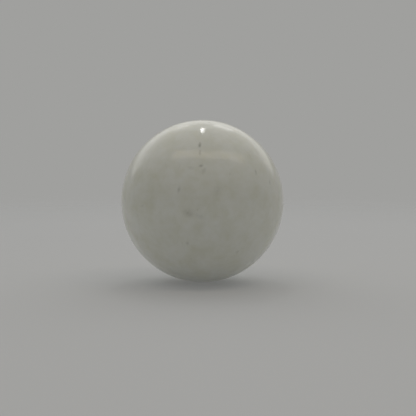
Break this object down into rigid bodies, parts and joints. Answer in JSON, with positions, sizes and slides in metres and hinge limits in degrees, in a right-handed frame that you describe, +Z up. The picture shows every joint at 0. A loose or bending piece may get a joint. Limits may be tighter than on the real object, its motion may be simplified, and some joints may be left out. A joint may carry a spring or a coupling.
{
  "type": "cue ball",
  "caption": "Plain solid sphere of polished off-white resin, the ball that a pool player strikes with the cue; it rolls on the cloth and drives the other balls.",
  "frame": {"origin": "centre of the ball", "axes": "+Z up, with the cloth below at -Z; the ball is round, so X and Y are any two level directions, and -Y faces the viewer"},
  "size_m": [0.0572, 0.0572, 0.0572],
  "materials": {
    "phenolic_resin": "polished"
  },
  "bodies": {
    "root": {"cue_ball": "phenolic_resin"}
  },
  "joints": []
}
